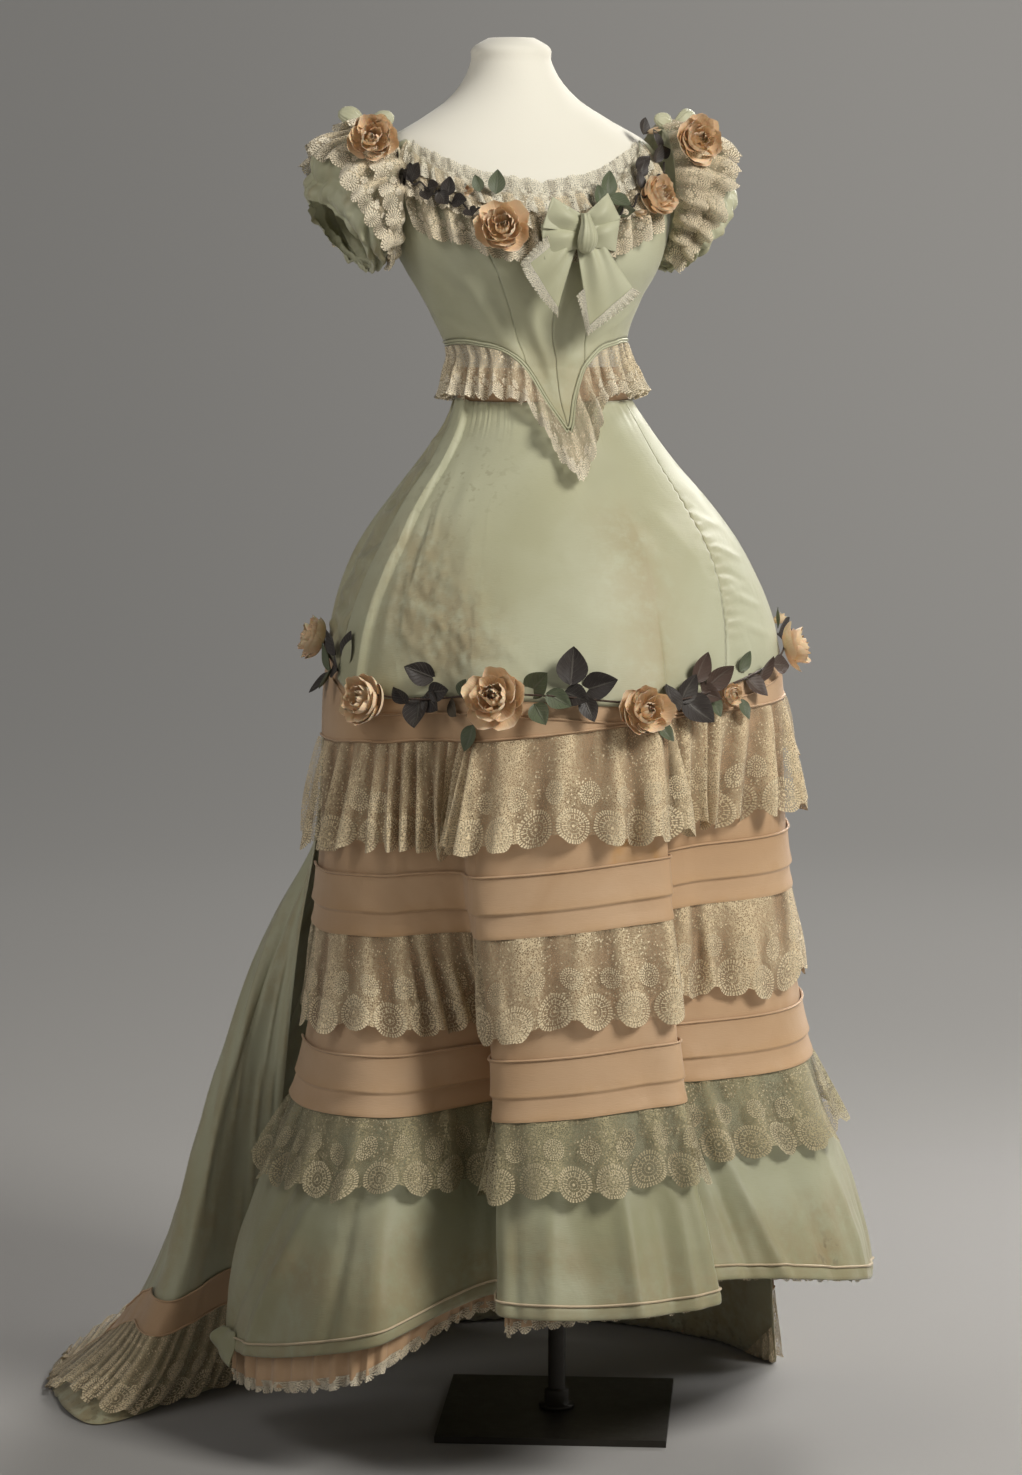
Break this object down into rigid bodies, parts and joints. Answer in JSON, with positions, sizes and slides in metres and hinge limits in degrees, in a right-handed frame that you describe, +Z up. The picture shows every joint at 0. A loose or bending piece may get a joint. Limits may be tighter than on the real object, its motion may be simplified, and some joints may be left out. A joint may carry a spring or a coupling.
{
  "type": "evening dress on a limbless dress form and stand",
  "caption": "Bodice with puff sleeves, tiered skirt with lace and roses, and a swept train, on a padded form.",
  "frame": {"origin": "middle of the base plate's underside, on the axis of the pole", "axes": "+Z up along the pole, the dress faces -Y, +X is the wearer's left"},
  "size_m": [0.894, 1.3065, 1.566],
  "materials": {
    "green_silk": "satin silk with a soft sheen, aged and stained",
    "peach_silk": "dull silk",
    "cream_lace": "open net lace with round medallions",
    "rose_cloth": "matt cloth petals",
    "leaf_cloth": "dark velvet and satin leaves",
    "form_jersey": "smooth knitted cover",
    "black_steel": "black satin paint"
  },
  "bodies": {
    "root": {"apron_front": "green_silk", "apron_side_left": "green_silk", "apron_side_right": "green_silk", "base_plate": "black_steel", "bertha_lace_back": "cream_lace", "bertha_lace_front": "cream_lace", "bodice_back_left": "green_silk", "bodice_back_right": "green_silk", "bodice_front_left": "green_silk", "bodice_front_right": "green_silk", "bodice_piping": "green_silk", "bodice_side_left": "green_silk", "bodice_side_right": "green_silk", "bow_knot": "green_silk", "bow_loop_left": "green_silk", "bow_loop_right": "green_silk", "bow_tail_left": "green_silk", "bow_tail_right": "green_silk", "dress_form": "form_jersey", "dust_ruffle": "peach_silk", "hem_band": "green_silk", "hem_panel": "green_silk", "hem_piping": "peach_silk", "hip_garland": "leaf_cloth", "hip_rose_1": "rose_cloth", "hip_rose_2": "rose_cloth", "hip_rose_3": "rose_cloth", "hip_rose_4": "rose_cloth", "hip_rose_5": "rose_cloth", "hip_rose_6": "rose_cloth", "hip_rose_7": "rose_cloth", "lace_flounce_1": "cream_lace", "lace_flounce_2": "cream_lace", "lace_flounce_3": "cream_lace", "lower_tucks": "peach_silk", "neck_garland_left": "leaf_cloth", "neck_garland_right": "leaf_cloth", "neck_lace_back": "cream_lace", "neck_lace_front": "cream_lace", "neck_rose_1": "rose_cloth", "neck_rose_2": "rose_cloth", "peach_band": "peach_silk", "peach_skirt": "peach_silk", "peplum_lace": "cream_lace", "pole": "black_steel", "shoulder_ribbon_left": "green_silk", "shoulder_ribbon_right": "green_silk", "shoulder_rose_left": "rose_cloth", "shoulder_rose_right": "rose_cloth", "sleeve_lace_left": "cream_lace", "sleeve_lace_right": "cream_lace", "sleeve_left": "green_silk", "sleeve_right": "green_silk", "train_band": "peach_silk", "train_centre": "green_silk", "train_lace": "cream_lace", "train_left": "green_silk", "train_right": "green_silk", "upper_tucks": "peach_silk", "waistband": "peach_silk"}
  },
  "joints": []
}
